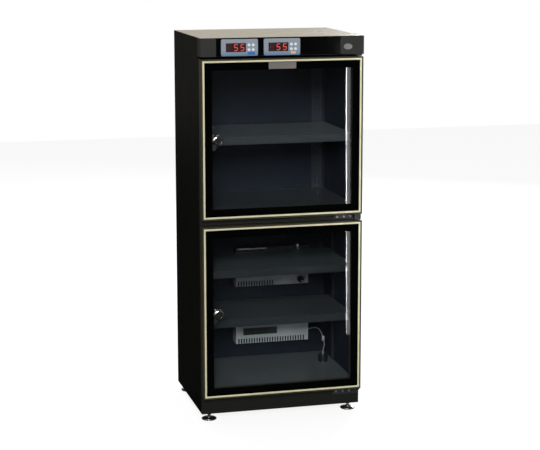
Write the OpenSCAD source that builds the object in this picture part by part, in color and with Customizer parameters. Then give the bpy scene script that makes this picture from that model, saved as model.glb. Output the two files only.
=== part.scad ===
// Two-chamber humidity cabinet: a steel body on levelling feet, two glazed doors that
// hinge on the right, shelves on slotted rails, humidity units and a control header.
// Millimetres, +Z up, front towards -Y, origin on the floor under the middle of the cabinet.

/* [Cabinet] */
// Width over the side panels
body_w = 545; // [460:1:640]
// Depth from the door fronts to the back edge of the side panels
body_d = 436; // [410:1:520]
// Height of the body without its feet
body_h = 1250; // [1240:1:1400]
// Thickness of a double side wall
wall_t = 10; // [9:0.5:12]
// Thickness of the outer steel sheet
skin_t = 1.2; // [0.8:0.1:1.5]
// Thickness of the inner lining sheet
liner_t = 1; // [0.8:0.1:1.5]
// Width of the folded edge that the door gaskets meet
flange_w = 20; // [20:0.5:24]
// Space behind the back lining
back_gap = 19; // [17:0.5:30]
// How far the back panel sits inside the back edge
back_inset = 4; // [3:0.5:6]
// Depth of the folded lips of the top cover
lip_h = 12; // [8:1:16]

/* [Front] */
// Height of the control header
header_h = 60; // [58:1:80]
// Height of the base front
base_h = 50; // [40:1:60]
// Height of the rail between the doors
rail_h = 18; // [14:0.5:18]
// Distance from the door fronts back to the carcass front edge
carcass_in = 46.6; // [46:0.1:50]
// Distance from the door fronts back to the base and rail fronts
front_in = 28; // [26:0.5:29]
// Sheet thickness of the header, base and rail
front_t = 1.5; // [1:0.1:2]

/* [Chambers] */
// Height of the lower chamber's floor above the body's underside
floor_z = 80; // [78:1:90]
// Height of the lower chamber's ceiling
ceiling_z = 616; // [606:1:616]
// Height of the upper chamber's floor
deck_z = 683; // [683:1:686]
// Distance of the upper chamber's ceiling below the header
ceiling_drop = 29; // [28:1:40]

/* [Doors] */
// Height of the upper door
upper_door_h = 523; // [520:1:526]
// Gap between the upper door and the header
top_gap = 8; // [6:0.1:9]
// Gap between the two doors
mid_gap = 22.3; // [22:0.1:26]
// Gap between the lower door and the base
bottom_gap = 7.2; // [6:0.1:9]
// Thickness of a door frame
door_t = 38; // [36:0.5:38]
// How far each door stops short of the side of the body
door_inset = 1; // [0.5:0.5:2]
// Width of the frame lip outside the gold trim
lip_w = 5; // [4:0.5:7]
// Width of the gold trim
trim_w = 6; // [4:0.5:8]
// Width of the black surround inside the trim
surround_w = 24.5; // [22:0.5:30]
// Width of the folded door channel
channel_w = 31; // [29:0.5:33]
// Thickness of the glass
glass_t = 4; // [3:0.5:5]

/* [Hinges] */
// Radius of the hinge pins
pin_r = 2.5; // [2:0.1:3]
// Outer radius of a hinge bush
bush_r = 4; // [3.8:0.1:5]
// Distance of the hinge axis from the door's outer edge
axis_inset = 7; // [7:0.1:8]
// Distance of the hinge axis behind the door fronts
axis_in = 20; // [18:0.5:21]
// Length of a hinge bracket
bracket_l = 88; // [70:1:110]

/* [Locks] */
// Height of the upper lock above the body's underside
upper_lock_z = 922; // [880:1:960]
// Height of the lower lock above the body's underside
lower_lock_z = 346; // [340:1:420]
// Distance of a lock from the door's outer edge
lock_inset = 53; // [51:0.5:58]
// Radius of the lock's chrome ring
ring_r = 20; // [18:0.5:21]
// How far a lock stands out in front of the door
lock_out = 10; // [8:0.5:14]
// Radius of the turning plug's face
plug_r = 10; // [9:0.5:12]
// Radius of the plug's spindle
spindle_r = 4; // [3:0.5:5]
// Length of the cam from its axis
cam_l = 34; // [32:0.5:36]

/* [Shelves] */
// Height of the upper chamber's shelf top
shelf_a_z = 921; // [820:1:1000]
// Height of the lower chamber's first shelf top
shelf_b_z = 476; // [470:1:480]
// Height of the lower chamber's second shelf top
shelf_c_z = 307; // [304:1:309]
// Depth of the upper shelf
shelf_a_d = 330; // [300:1:336]
// Depth of the lower shelves
shelf_b_d = 284; // [250:1:288]
// Distance from the door fronts back to the shelf fronts
shelf_in = 64; // [60:1:68]
// Height of a shelf's front lip
shelf_lip = 25; // [20:1:30]
// Height of a shelf's side and back lips
shelf_side = 12; // [8:1:14]
// Pitch of the slots in a rail
slot_pitch = 20; // [18:1:30]

/* [Humidity units] */
// Width of a humidity unit
unit_w = 265; // [220:1:270]
// Height of the lower humidity unit
unit_h = 124; // [100:1:128]
// Height of the upper humidity unit, which shows over the shelf in front of it
unit_a_h = 138; // [100:1:144]
// Depth of a humidity unit
unit_d = 50; // [40:1:56]
// Height of the upper unit's underside
unit_a_z = 348; // [346:1:350]
// Height of the lower unit's underside
unit_b_z = 140; // [138:1:144]
// Pitch of a unit's comb of slots
comb_pitch = 9.5; // [8:0.5:14]
// Height of the comb slots
comb_h = 18; // [12:1:24]
// Radius of the upper unit's dial
dial_r = 11.5; // [9:0.5:12.5]

/* [Controllers] */
// Width of a controller's front
case_w = 121; // [118:1:126]
// Height of a controller's front
case_h = 54; // [50:1:56]
// Width of the display window
window_w = 66; // [60:1:68]
// Height of the display window
window_h = 28; // [24:1:30]
// Radius of a button
button_r = 4.6; // [3.5:0.1:5]
// Travel of a button
button_travel = 0.8; // [0.5:0.1:1]

/* [Feet] */
// Height of the body above the floor
foot_h = 26; // [24:1:34]
// Radius of a foot's pad
pad_r = 25; // [20:0.5:27]
// Radius of a foot's stem
stem_r = 5; // [4:0.5:6]

/* [Hidden] */
$fn = 48;

// One overrun for every cut, and the clearances of running and loose fits
cut = 1;
run_gap = 0.05;
play = 0.3;
loose = 0.5;

// Main planes: side, front and back of the cabinet, and the levels of the front
half_w = body_w / 2;
door_y = lock_out - (body_d + lock_out) / 2;
back_y = (body_d + lock_out) / 2;
carcass_y = door_y + carcass_in;
front_y = door_y + front_in;
inner_x = half_w - wall_t;
flange_x = half_w - flange_w;
liner_y = back_y - back_gap;
body_top = foot_h + body_h;
header_z = body_top - header_h;
top_ceiling_z = body_h - header_h - ceiling_drop;

// Door levels and edges
door_x = half_w - door_inset;
upper_door_z = header_z - top_gap - upper_door_h;
lower_door_z = foot_h + base_h + bottom_gap;
lower_door_h = upper_door_z - mid_gap - lower_door_z;
rail_z = upper_door_z - mid_gap / 2 - rail_h / 2;
door_sheet = 1.2;
return_w = 8;
lip_set = 1;
trim_step = 1.5;
surround_set = 2;
glass_y = door_y + surround_set + 2;
web_y = glass_y + glass_t;
glazing_in = lip_w + trim_w;
gasket_base_w = 25;
gasket_base_in = 3;
gasket_base_t = 1.5;
bulb_w = 12;

// Hinge levels: a bush flange lies between each door and its bracket
axis_x = door_x - axis_inset;
axis_y = door_y + axis_in;
flange_t = 2;
flange_r = bush_r + 2;
bush_l = 12;
block_w = 14;
bracket_t = 2.5;
leaf_w = 22;
leaf_front = 10;
foot_plate_h = 20;
screw_r = 4;
screw_h = 2.2;
screw_margin = 10;

// Lock pieces along Y, from the ring to the cam
lock_x = lock_inset - door_x;
barrel_r = 12;
nut_r = 17;
nut_t = 6;
plug_face = 1;
plug_depth = 5;
strike_t = 2;
strike_y = carcass_y + skin_t;
strike_half = 14;
strike_reach = 6;
cam_t = 3;
cam_y = strike_y + strike_t + loose;
barrel_end = cam_y - play;
cam_w = 18;
cam_nut_t = 4;
tab_in = 17;
tab_w = 14;
tab_top = 6;
tab_drop = 34;
tab_t = 3;
key_w = 2;
key_l = 9;
lock_dome_shares = [[0, 0], [1, 0], [1, 0.22], [0.985, 0.38], [0.94, 0.56], [0.87, 0.72],
    [0.78, 0.86], [0.69, 0.96], [0.62, 1], [0, 1]];

// Shelf furniture
rail_t = 3;
side_rail_w = 26;
back_rail_w = 38;
back_rail_in = 10;
slot_w = 3;
slot_h = 10;
front_rail_in = 78;
rear_rail_in = 290;
clip_w = 14;
clip_h = 9;
shelf_half = inner_x - rail_t - 1;
shelf_t = 1.2;

// Humidity units hang on the back lining, near its right side
unit_side = 72.5;
unit_x = inner_x - unit_side - unit_w;
unit_t = 2;
comb_w = 5;
comb_margin = 8;
comb_short_share = 0.59;
dial_l = 12;
dial_in = 30;
dial_up = 16;
dial_shaft_r = 3;
gland_r = 4;
gland_l = 4;
gland_up = 32;

// Sensor on the lower floor and the wire that hangs down to it
sensor_r = 17;
sensor_h = 24;
sensor_side = 40.5;
sensor_in = 285;
sensor_grooves = 10;
groove_w = 4;
wire_r = 2;
wire_sides = 8;
sensor_x = inner_x - sensor_side;
sensor_y = door_y + sensor_in;
wire_start = [unit_x + unit_w + gland_l, liner_y - unit_d / 2, foot_h + unit_b_z + gland_up];
wire_end = [sensor_x, sensor_y, foot_h + floor_z + sensor_h];
wire_route_shares = [
    [0, 0, 0], [0.4, 0, -0.02], [0.8, 0, -0.04], [1.15, 0.01, -0.04],
    [1.45, 0.03, 0.01], [1.65, 0.06, 0.1], [1.8, 0.09, 0.23], [1.9, 0.13, 0.37],
    [1.93, 0.19, 0.5], [1.93, 0.28, 0.61], [1.86, 0.39, 0.69], [1.72, 0.52, 0.74],
    [1.52, 0.65, 0.76], [1.32, 0.78, 0.78], [1.13, 0.9, 0.82], [1.03, 0.97, 0.88],
    [1, 1, 0.94], [1, 1, 1]];
wire_route = [for (s = wire_route_shares) [for (k = [0 : 2])
    wire_start[k] + s[k] * (wire_end[k] - wire_start[k])]];

// Controllers on the header
case_margin = 15.5;
case_gap = 19.5;
case_drop = 1;
case_out = 5;
panel_t = 1.5;
panel_side_left = 50.5;
panel_side_right = 79.5;
panel_left = half_w - panel_side_left;
panel_right = half_w - panel_side_right;
case_first_x = case_margin + case_w / 2 - panel_left;
case_centres_x = [case_first_x, case_first_x + case_w + case_gap];
case_z = body_top - header_h / 2 - case_drop;
panel_margin = 1.2;
case_body_w = 112;
case_body_h = 46;
case_body_d = 60;
window_off = -12;
window_t = 1.5;
button_cols = [31, 44.7];
button_rows = [7.9, -7.1];
button_l = 6;
button_out = 1.5;
button_room = 2.5;

// Feet and the pan that carries them
pan_t = 2;
foot_x = half_w - 30;
foot_front_y = door_y + 56;
foot_back_y = back_y - 36;
pad_h = 9;
nut_corner_r = 9;
nut_h = 8;
pad_edge = 2;
stem_top = 22;
boss_r = 9;
boss_h = 12;

// Vents and power inlet in the back panel
vent_w = 3;
vent_h = 30;
vent_pitch = 9;
vent_count = 12;
vent_in = 30;
vent_up = 15;
inlet_side = 82.5;
inlet_x = inner_x - inlet_side;
inlet_z = 110;
inlet_w = 48;
inlet_h = 28;
inlet_body_w = 40;
inlet_body_h = 22;
inlet_t = 2.5;
inlet_d = 12;

// Box between two opposite corners
module span(lo, hi) translate(lo) cube(hi - lo);

// Upright rectangular ring: the door outline inset by a, with a hole inset by b
module ring(z, h, a, b, y0, y1) difference() {
    span([-door_x + a, y0, z + a], [door_x - a, y1, z + h - a]);
    span([-door_x + b, y0 - cut, z + b], [door_x - b, y1 + cut, z + h - b]);
}

// Cylinder that starts at p and runs along +Y
module rod_y(p, r, l) translate(p) rotate([-90, 0, 0]) cylinder(r = r, h = l);

// Folded side tray: outer sheet with a front and a back return
module side_tray(side) {
    outer = side * half_w;
    inner = side * (half_w - skin_t);
    lip = side * flange_x;
    rear = side * inner_x;
    z0 = foot_h;
    z1 = body_top - skin_t;
    span([min(outer, inner), carcass_y, z0], [max(outer, inner), back_y, z1]);
    span([min(outer, lip), carcass_y, z0], [max(outer, lip), carcass_y + skin_t, z1]);
    span([min(outer, rear), back_y - skin_t, z0], [max(outer, rear), back_y, z1]);
}

module side_panel_left() color("#161613") side_tray(-1);
module side_panel_right() color("#161613") side_tray(1);

// Inner linings of both sides and of the back
module wall_liners() color("#1d1f27") {
    z0 = foot_h + pan_t;
    z1 = header_z;
    for (side = [-1, 1]) {
        a = side * inner_x;
        b = side * (inner_x + liner_t);
        span([min(a, b), carcass_y + skin_t, z0], [max(a, b), back_y - skin_t, z1]);
    }
    span([-inner_x, liner_y, z0], [inner_x, liner_y + liner_t, z1]);
}

// Back sheet with vent slots behind the header and the hole of the power inlet
module back_panel() color("#161613") {
    y0 = back_y - back_inset - skin_t;
    vent_z = header_z + vent_up;
    inlet_mid = foot_h + inlet_z;
    difference() {
        span([-inner_x, y0, foot_h + pan_t], [inner_x, y0 + skin_t, body_top - skin_t - lip_h]);
        for (i = [0 : vent_count - 1], side = [-1, 1])
            translate([side * (vent_in + i * vent_pitch) - vent_w / 2, y0 - cut, vent_z])
                cube([vent_w, skin_t + 2 * cut, vent_h]);
        span([inlet_x - inlet_body_w / 2, y0 - cut, inlet_mid - inlet_body_h / 2],
            [inlet_x + inlet_body_w / 2, y0 + skin_t + cut, inlet_mid + inlet_body_h / 2]);
    }
}

// Flat lid with lips turned down inside the side panels and the back
module top_cover() color("#242522") {
    z0 = body_top - skin_t;
    in_x = half_w - skin_t;
    lip_y = back_y - back_inset - skin_t;
    span([-half_w, door_y, z0], [half_w, back_y, body_top]);
    for (side = [-1, 1])
        span([min(side * in_x, side * (in_x - skin_t)), carcass_y + lip_h, z0 - lip_h],
            [max(side * in_x, side * (in_x - skin_t)), lip_y - lip_h, z0]);
    span([-inner_x, lip_y, z0 - lip_h], [inner_x, lip_y + skin_t, z0]);
}

// Folded header with the cut-outs of the two controllers
module header_fascia() color("#323430") difference() {
    z1 = body_top - skin_t;
    span([-half_w, door_y, header_z], [half_w, carcass_y, z1]);
    span([-half_w + front_t, door_y + front_t, header_z + front_t],
        [half_w - front_t, carcass_y + cut, z1 + cut]);
    case_holes(door_y, front_t);
}

// Through holes for the bodies of the controllers
module case_holes(y, t) for (x = case_centres_x)
    translate([x - case_body_w / 2 - play, y - cut, case_z - case_body_h / 2 - play])
        cube([case_body_w + 2 * play, t + 2 * cut, case_body_h + 2 * play]);

// Gloss black panel across the middle of the header
module display_panel() color("#0b0b0c") difference() {
    span([-panel_left, door_y - panel_t, header_z + panel_margin],
        [panel_right, door_y, body_top - panel_margin]);
    case_holes(door_y - panel_t, panel_t);
}

// Sheet between the side linings, with a front return up or down
module deck_sheet(z, t, edge_z) {
    span([-inner_x, carcass_y + t, z], [inner_x, liner_y, z + t]);
    span([-flange_x, carcass_y, min(z, edge_z)], [flange_x, carcass_y + t, max(z + t, edge_z)]);
}

module ceiling_panels() color("#20222a") {
    deck_sheet(foot_h + top_ceiling_z, skin_t, header_z);
    deck_sheet(foot_h + ceiling_z, skin_t, foot_h + (ceiling_z + deck_z) / 2);
}

module upper_deck() color("#2d3032")
    deck_sheet(foot_h + deck_z - skin_t, skin_t, foot_h + (ceiling_z + deck_z) / 2);

module lower_floor() color("#36393d")
    deck_sheet(foot_h + floor_z - skin_t, skin_t, foot_h + base_h);

// Bottom pan with a threaded boss over each foot
module bottom_pan() color("#161613") {
    x = half_w - skin_t;
    difference() {
        union() {
            span([-x, carcass_y + skin_t, foot_h], [x, back_y - skin_t, foot_h + pan_t]);
            at_feet() cylinder(r = boss_r, h = boss_h);
        }
        at_feet() translate([0, 0, -cut]) cylinder(r = stem_r + run_gap, h = boss_h + 2 * cut);
    }
}

module at_feet() for (x = [-foot_x, foot_x], y = [foot_front_y, foot_back_y])
    translate([x, y, foot_h]) children();

// Folded box in front of the carcass, open at its back
module front_box(z, h) difference() {
    span([-half_w, front_y, z], [half_w, carcass_y, z + h]);
    span([-half_w + front_t, front_y + front_t, z + front_t],
        [half_w - front_t, carcass_y + cut, z + h - front_t]);
}

module centre_rail() color("#2b2d2b") front_box(rail_z, rail_h);
module base_front() color("#1c1d1b") front_box(foot_h, base_h);

// Controller: rounded front with a window pocket and button holes, and its body behind
module controller(x) difference() {
    face = door_y - case_out;
    union() {
        translate([x, door_y - panel_t, case_z]) rotate([90, 0, 0])
            linear_extrude(case_out - panel_t) rounded_rect(case_w, case_h, case_out);
        span([x - case_body_w / 2, door_y - panel_t, case_z - case_body_h / 2],
            [x + case_body_w / 2, door_y + case_body_d, case_z + case_body_h / 2]);
    }
    translate([x + window_off - window_w / 2, face - cut, case_z - window_h / 2])
        cube([window_w, window_t + cut, window_h]);
    for (dx = button_cols, dz = button_rows)
        rod_y([x + dx, face - cut, case_z + dz], button_r + play,
            cut + button_l - button_out + button_room);
}

// Rectangle about the centre with rounded corners
module rounded_rect(w, h, r) polygon([for (c = [0 : 3], k = [0 : 6])
    let (a = 90 * c + 15 * k, x = c == 0 || c == 3 ? 1 : -1, y = c < 2 ? 1 : -1)
        [x * (w / 2 - r) + r * cos(a), y * (h / 2 - r) + r * sin(a)]]);

module controllers() color("#9aa8b8") for (x = case_centres_x) controller(x);

module display_windows() color("#3a0d10") for (x = case_centres_x)
    translate([x + window_off - window_w / 2, door_y - case_out, case_z - window_h / 2])
        cube([window_w, window_t, window_h]);

// One push button; i counts along the rows of the left, then the right controller
module button(i) color("#e6ecf2") {
    unit = floor(i / 4);
    dx = button_cols[i % 2];
    dz = button_rows[floor(i / 2) % 2];
    rod_y([case_centres_x[unit] + dx, door_y - case_out - button_out, case_z + dz],
        button_r, button_l);
}

// Slotted rail drawn flat: w wide, h tall, with columns of slots
module slotted(w, h, columns) difference() {
    square([w, h]);
    count = floor((h - slot_h) / slot_pitch);
    start = (h - (count - 1) * slot_pitch - slot_h) / 2;
    for (c = [1 : columns], i = [0 : count - 1])
        translate([c * w / (columns + 1) - slot_w / 2, start + i * slot_pitch])
            square([slot_w, slot_h]);
}

module side_rail(side, y, z, h) translate([side > 0 ? inner_x - rail_t : -inner_x, y, z])
    rotate([90, 0, 90]) linear_extrude(rail_t) slotted(side_rail_w, h, 1);

module back_rail(x, z, h) translate([x, liner_y, z]) rotate([90, 0, 0])
    linear_extrude(rail_t) slotted(back_rail_w, h, 2);

// Slotted rails: front pair and back pair in each chamber
module shelf_rails() color("#1a1c22") {
    z_up = foot_h + deck_z;
    h_up = top_ceiling_z - deck_z;
    z_low = foot_h + floor_z;
    h_low = ceiling_z - floor_z;
    for (side = [-1, 1]) {
        side_rail(side, door_y + front_rail_in, z_up, h_up);
        side_rail(side, door_y + front_rail_in, z_low, h_low);
        side_rail(side, door_y + rear_rail_in, z_low, h_low);
        x = side > 0 ? inner_x - back_rail_in - back_rail_w : -inner_x + back_rail_in;
        back_rail(x, z_up, h_up);
    }
}

// Clip on a side rail, under the side lip of a shelf
module side_clip(side, y, z) {
    a = side * (inner_x - rail_t);
    b = side * (inner_x - rail_t - clip_w);
    span([min(a, b), y + side_rail_w / 2 - clip_w / 2, z - clip_h],
        [max(a, b), y + side_rail_w / 2 + clip_w / 2, z]);
}

// Clip on a back rail, reaching forward under the back lip of the upper shelf
module back_clip(side, z) {
    mid = side * (inner_x - back_rail_in - back_rail_w / 2);
    span([mid - clip_w / 2, door_y + shelf_in + shelf_a_d - clip_w, z - clip_h],
        [mid + clip_w / 2, liner_y - rail_t, z]);
}

module shelf_clips() color("#b9bcc0") for (side = [-1, 1]) {
    side_clip(side, door_y + front_rail_in, foot_h + shelf_a_z - shelf_side);
    back_clip(side, foot_h + shelf_a_z - shelf_side);
    for (z = [shelf_b_z, shelf_c_z], y = [front_rail_in, rear_rail_in])
        side_clip(side, door_y + y, foot_h + z - shelf_side);
}

// Folded shelf: flat top, tall front lip and low side and back lips
module shelf(z, d) color("#303336") {
    top = foot_h + z;
    y0 = door_y + shelf_in;
    y1 = y0 + d;
    x = shelf_half;
    span([-x, y0, top - shelf_t], [x, y1, top]);
    span([-x, y0, top - shelf_lip], [x, y0 + shelf_t, top]);
    span([-x, y1 - shelf_t, top - shelf_side], [x, y1, top]);
    for (side = [-1, 1])
        span([min(side * x, side * (x - shelf_t)), y0, top - shelf_side],
            [max(side * x, side * (x - shelf_t)), y1, top]);
}

module shelf_upper() shelf(shelf_a_z, shelf_a_d);
module shelf_middle() shelf(shelf_b_z, shelf_b_d);
module shelf_lower() shelf(shelf_c_z, shelf_b_d);

// Humidity unit: a cover open to the back, with a comb of slots along its bottom edge
module unit_cover(z, h, slot_share) difference() {
    y0 = liner_y - unit_d;
    z0 = foot_h + z;
    count = floor((unit_w * slot_share - 2 * comb_margin) / comb_pitch);
    span([unit_x, y0, z0], [unit_x + unit_w, liner_y, z0 + h]);
    span([unit_x + unit_t, y0 + unit_t, z0 + unit_t],
        [unit_x + unit_w - unit_t, liner_y + cut, z0 + h - unit_t]);
    for (i = [0 : count - 1])
        translate([unit_x + comb_margin + i * comb_pitch, y0 - cut, z0 - cut])
            cube([comb_w, unit_d / 2 + cut, comb_h + cut]);
}

dial_x = unit_x + unit_w - dial_in;
dial_z = foot_h + unit_a_z + dial_up;

module humidity_unit_upper() color("#55575c") difference() {
    unit_cover(unit_a_z, unit_a_h, comb_short_share);
    rod_y([dial_x, liner_y - unit_d - cut, dial_z], dial_shaft_r + run_gap, unit_t + 2 * cut);
}

// The lower unit carries the gland of the sensor wire on its right side
module humidity_unit_lower() color("#85868a") {
    unit_cover(unit_b_z, unit_h, 1);
    translate(wire_start - [gland_l, 0, 0]) rotate([0, 90, 0])
        cylinder(r = gland_r, h = gland_l);
}

module unit_dial() color("#0c0c0d") {
    y0 = liner_y - unit_d - play;
    difference() {
        rod_y([dial_x, y0 - dial_l, dial_z], dial_r, dial_l);
        translate([dial_x - key_w / 2, y0 - dial_l - cut, dial_z])
            cube([key_w, cut + key_w / 2, dial_r + cut]);
    }
    rod_y([dial_x, y0, dial_z], dial_shaft_r, unit_t * 3);
}

// Ring of points about one point of the wire's route, square to its direction
function wire_dir(i) = let (n = len(wire_route) - 1)
    wire_route[min(i + 1, n)] - wire_route[max(i - 1, 0)];
function unit_vec(v) = v / norm(v);
function wire_ring(i) = let (
        d = unit_vec(i == 0 ? [1, 0, 0] : i == len(wire_route) - 1 ? [0, 0, -1] : wire_dir(i)),
        u = unit_vec(cross(d, [0, 1, 0])), v = cross(d, u))
    [for (k = [0 : wire_sides - 1]) let (a = 360 * k / wire_sides)
        wire_route[i] + wire_r * (cos(a) * u + sin(a) * v)];

module sensor_wire() color("#c9cbd0") {
    n = len(wire_route);
    s = wire_sides;
    pts = [for (i = [0 : n - 1]) each wire_ring(i)];
    skin = [for (i = [0 : n - 2], k = [0 : s - 1]) each [
        [i * s + k, i * s + (k + 1) % s, (i + 1) * s + k],
        [i * s + (k + 1) % s, (i + 1) * s + (k + 1) % s, (i + 1) * s + k]]];
    polyhedron(pts, concat(skin, [[for (k = [s - 1 : -1 : 0]) k]],
        [[for (k = [0 : s - 1]) (n - 1) * s + k]]));
}

// Grooved sensor head that stands on the lower floor
module floor_sensor() color("#15161a") translate([sensor_x, sensor_y, foot_h + floor_z])
    difference() {
        cylinder(r = sensor_r, h = sensor_h);
        for (i = [0 : sensor_grooves - 1]) rotate(360 * i / sensor_grooves)
            translate([sensor_r - groove_w / 2, -groove_w / 2, groove_w])
                cube([groove_w, groove_w, sensor_h - 2 * groove_w]);
    }

// Hinge brackets: under the header, on the centre rail and on the base
module hinge_brackets() color("#202224") difference() {
    x1 = axis_x + flange_r;
    x0 = x1 - bracket_l;
    leaf_x = x1 - leaf_w;
    y0 = door_y + leaf_front;
    mid0 = rail_z + rail_h / 2 - mid_gap / 2 + flange_t + play;
    mid1 = mid0 + mid_gap - 2 * flange_t - 2 * play;
    low1 = lower_door_z - flange_t - play;
    union() {
        span([leaf_x, y0, header_z - top_gap + flange_t + play], [x1, carcass_y, header_z]);
        span([x0, front_y, header_z - bracket_t], [x1, carcass_y, header_z]);
        span([leaf_x, y0, mid0], [x1, front_y, mid1]);
        span([x0, front_y - bracket_t, mid0], [x1, front_y, mid1]);
        span([leaf_x, y0, low1 - bracket_t * 2], [x1, front_y, low1]);
        span([x0, front_y - bracket_t, low1 - foot_plate_h], [x1, front_y, low1]);
    }
    translate([axis_x, axis_y, 0]) cylinder(r = pin_r, h = body_top);
}

// Pins: one at the top, a double-ended one between the doors and one at the bottom
module hinge_pins() color("#c4c7cc") translate([axis_x, axis_y, 0]) {
    for (z = [[upper_door_z + upper_door_h - bush_l, header_z],
            [upper_door_z - mid_gap - bush_l, upper_door_z + bush_l],
            [lower_door_z - flange_t - play - bracket_t * 2, lower_door_z + bush_l]])
        translate([0, 0, z[0]]) cylinder(r = pin_r, h = z[1] - z[0]);
}

// Domed screw heads on the plates of the two lower brackets
module hinge_screws() color("#8f9298") {
    x1 = axis_x + flange_r - leaf_w;
    x0 = axis_x + flange_r - bracket_l;
    step = (x1 - x0 - 2 * screw_margin) / 2;
    low = lower_door_z - flange_t - play - foot_plate_h / 2;
    for (i = [0 : 2], z = [rail_z + rail_h / 2, low])
        translate([x0 + screw_margin + i * step, front_y - bracket_t, z]) rotate([90, 0, 0])
            rotate_extrude() polygon([[0, 0], [screw_r, 0], [screw_r, screw_h / 2],
                [screw_r * 0.7, screw_h], [0, screw_h]]);
}

// Strikes on the left lining, one behind each lock
module strike_plates() color("#a9acb0") for (z = [upper_lock_z, lower_lock_z])
    span([-inner_x, strike_y, foot_h + z - strike_half],
        [strike_reach - flange_x, strike_y + strike_t, foot_h + z + strike_half]);

// Mains inlet, flange outside and body in the space behind the lining
module power_inlet() color("#111111") difference() {
    y0 = back_y - back_inset;
    z0 = foot_h + inlet_z;
    union() {
        span([inlet_x - inlet_w / 2, y0, z0 - inlet_h / 2],
            [inlet_x + inlet_w / 2, y0 + inlet_t, z0 + inlet_h / 2]);
        span([inlet_x - inlet_body_w / 2, y0 - inlet_d, z0 - inlet_body_h / 2],
            [inlet_x + inlet_body_w / 2, y0, z0 + inlet_body_h / 2]);
    }
    span([inlet_x - inlet_body_w / 2 + inlet_t, y0 - inlet_d + inlet_t,
            z0 - inlet_body_h / 2 + inlet_t],
        [inlet_x + inlet_body_w / 2 - inlet_t, y0 + inlet_t + cut,
            z0 + inlet_body_h / 2 - inlet_t]);
}

// Levelling foot: round pad, lock nut and stem
module foot(x, y) color("#26282b") translate([x, y, 0]) {
    rotate_extrude() polygon([[0, 0], [pad_r - pad_edge, 0], [pad_r, pad_edge],
        [pad_r, 2 * pad_edge], [pad_r - 2 * pad_edge, pad_h * 0.7], [pad_r * 0.5, pad_h * 0.9],
        [stem_r + pad_edge, pad_h], [stem_r, pad_h + pad_edge / 2], [0, pad_h + pad_edge / 2]]);
    translate([0, 0, foot_h - play - nut_h]) cylinder(r = nut_corner_r, h = nut_h, $fn = 6);
    translate([0, 0, pad_h]) cylinder(r = stem_r, h = foot_h + stem_top - pad_h);
}

module foot_front_left() foot(-foot_x, foot_front_y);
module foot_front_right() foot(foot_x, foot_front_y);
module foot_back_left() foot(-foot_x, foot_back_y);
module foot_back_right() foot(foot_x, foot_back_y);

// Door frame: a folded channel, open to the back, with a bored block at each hinge
module door_frame(z, h) color("#2a2724") difference() {
    y1 = door_y + door_t;
    union() {
        ring(z, h, 0, door_sheet, door_y + lip_set, y1);
        ring(z, h, 0, lip_w, door_y + lip_set, door_y + lip_set + door_sheet);
        ring(z, h, 0, channel_w, web_y, web_y + door_sheet);
        ring(z, h, channel_w - door_sheet, channel_w, web_y, y1);
        ring(z, h, 0, return_w, y1 - door_sheet, y1);
        ring(z, h, channel_w - return_w, channel_w, y1 - door_sheet, y1);
        for (end = [z, z + h - bush_l])
            span([axis_x - block_w / 2, web_y, end],
                [door_x, axis_y + block_w / 2, end + bush_l]);
    }
    for (end = [z - cut, z + h - bush_l - cut])
        translate([axis_x, axis_y, end]) cylinder(r = bush_r, h = bush_l + 2 * cut);
}

// Gold trim: a stepped bead that holds the glass and its surround
module door_trim(z, h) color("#d8cf92") {
    ring(z, h, lip_w, glazing_in, door_y + trim_step, web_y);
    ring(z, h, lip_w + 1, glazing_in - 1, door_y, door_y + trim_step);
}

// Black surround on the front of the glass, notched round the lock
module door_surround(z, h, lock_z) color("#070807") difference() {
    ring(z, h, glazing_in, glazing_in + surround_w, door_y + surround_set, glass_y);
    rod_y([lock_x, door_y, foot_h + lock_z], ring_r + loose, glass_y - door_y + cut);
}

module door_glass(z, h, lock_z) color("#20262a", 0.35) difference() {
    span([-door_x + glazing_in, glass_y, z + glazing_in],
        [door_x - glazing_in, web_y, z + h - glazing_in]);
    rod_y([lock_x, glass_y - cut, foot_h + lock_z], barrel_r + play, glass_t + 2 * cut);
}

// Magnetic gasket: a flat base over the channel and a bulb that meets the carcass
module door_gasket(z, h) color("#4a4d50") {
    y0 = door_y + door_t;
    ring(z, h, gasket_base_in, gasket_base_in + gasket_base_w, y0, y0 + gasket_base_t);
    ring(z, h, axis_inset, axis_inset + bulb_w, y0 + gasket_base_t, carcass_y - play);
}

// Flanged bushes at the top and the bottom of a door
module door_bushes(z, h) color("#d9d6cc") difference() {
    translate([axis_x, axis_y, 0]) {
        translate([0, 0, z]) cylinder(r = bush_r, h = bush_l);
        translate([0, 0, z - flange_t]) cylinder(r = flange_r, h = flange_t);
        translate([0, 0, z + h - bush_l]) cylinder(r = bush_r, h = bush_l);
        translate([0, 0, z + h]) cylinder(r = flange_r, h = flange_t);
    }
    translate([axis_x, axis_y, z - flange_t - cut])
        cylinder(r = pin_r + run_gap, h = h + 2 * flange_t + 2 * cut);
}

// Lock body: chrome ring with a finger tab, barrel through the glass and ring nut
module lock_body(lock_z) color("#d4d7da") translate([lock_x, 0, foot_h + lock_z]) difference() {
    front = lock_out + glass_y - door_y;
    tab_x = -tab_in;
    union() {
        translate([0, glass_y, 0]) rotate([90, 0, 0]) rotate_extrude()
            polygon([for (s = lock_dome_shares) [s[0] * ring_r, s[1] * front]]);
        translate([0, glass_y, 0]) rotate([90, 0, 0]) linear_extrude(tab_t)
            polygon([[tab_x, -tab_top], [tab_x, -tab_drop], [tab_x + tab_w * 0.6, -tab_drop],
                [tab_x + tab_w, -tab_drop * 0.75], [tab_x + tab_w, -tab_top]]);
        rod_y([0, glass_y, 0], barrel_r, barrel_end - glass_y);
        rod_y([0, web_y, 0], nut_r, nut_t);
    }
    rod_y([0, door_y - lock_out - cut, 0], plug_r + play, plug_depth + plug_face + play + cut);
    rod_y([0, door_y - lock_out, 0], spindle_r + run_gap, barrel_end - door_y + lock_out + cut);
}

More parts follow.
